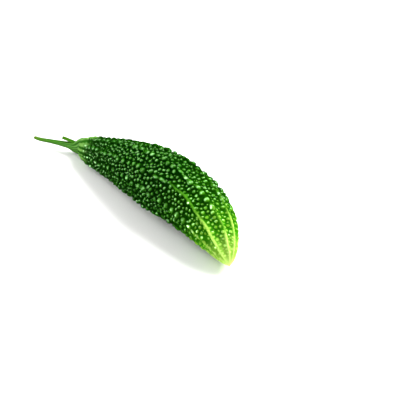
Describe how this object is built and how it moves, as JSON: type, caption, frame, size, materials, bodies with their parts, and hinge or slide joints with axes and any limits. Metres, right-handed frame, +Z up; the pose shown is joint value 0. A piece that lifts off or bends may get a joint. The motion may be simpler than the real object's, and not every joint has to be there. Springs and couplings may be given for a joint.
{
  "type": "bitter gourd",
  "caption": "Whole fresh bitter gourd: a curved, pointed spindle covered in warts along low ridges, with its curved stalk, lying on its side.",
  "frame": {"origin": "on the small flat spot that the fruit rests on, under the middle of its length; z = 0 is the surface it lies on", "axes": "+X along the fruit from the stalk to the pointed tip, +Z up, +Y to the side that the fruit's curve bulges to"},
  "size_m": [0.2312, 0.0624, 0.0513],
  "materials": {
    "fruit_skin": "waxy, shiny dark green skin, yellow-green at the tip",
    "stalk_skin": "satin light green, fibrous"
  },
  "bodies": {
    "root": {"fruit": "fruit_skin", "stalk": "stalk_skin"}
  },
  "joints": []
}
